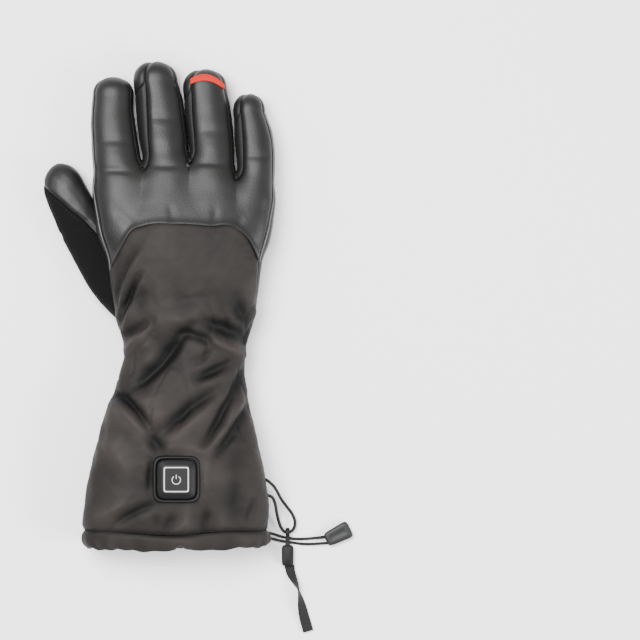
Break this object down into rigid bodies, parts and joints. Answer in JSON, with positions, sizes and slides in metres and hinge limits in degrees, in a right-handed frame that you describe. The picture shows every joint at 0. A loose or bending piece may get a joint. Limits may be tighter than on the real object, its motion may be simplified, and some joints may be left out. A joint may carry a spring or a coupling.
{
  "type": "heated glove",
  "caption": "Heated gauntlet glove for the right hand, leather and textile, lying on its palm, with a heat button, leash and hem cords.",
  "frame": {"origin": "on the floor under the middle of the glove's own box, without its loose cords", "axes": "+Z out of the back of the hand, +Y to the fingertips, +X to the little-finger side"},
  "size_m": [0.2172, 0.4031, 0.0555],
  "materials": {
    "leather": "satin",
    "textile": "matte",
    "softshell": "matte",
    "rubber": "satin",
    "light_line": "satin",
    "coral_trim": "matte",
    "label_red": "matte",
    "elastic": "matte",
    "plastic": "satin"
  },
  "bodies": {
    "root": {"back_leather": "leather", "palm_leather": "leather", "fourchette_index_middle": "leather", "fourchette_middle_ring": "leather", "fourchette_ring_little": "leather", "thumb_leather": "leather", "thumb_softshell": "softshell", "gauntlet_back": "textile", "gauntlet_palm": "textile", "hem_channel": "textile", "control_surround": "rubber", "heat_button": "rubber", "button_light_frame": "light_line", "finger_band": "coral_trim", "index_touch_patch": "leather", "wrist_label": "label_red", "leash_loop": "elastic", "leash_keeper": "plastic", "leash_strap": "elastic", "hem_cord_upper": "elastic", "hem_cord_lower": "elastic", "cord_end": "plastic"}
  },
  "joints": []
}
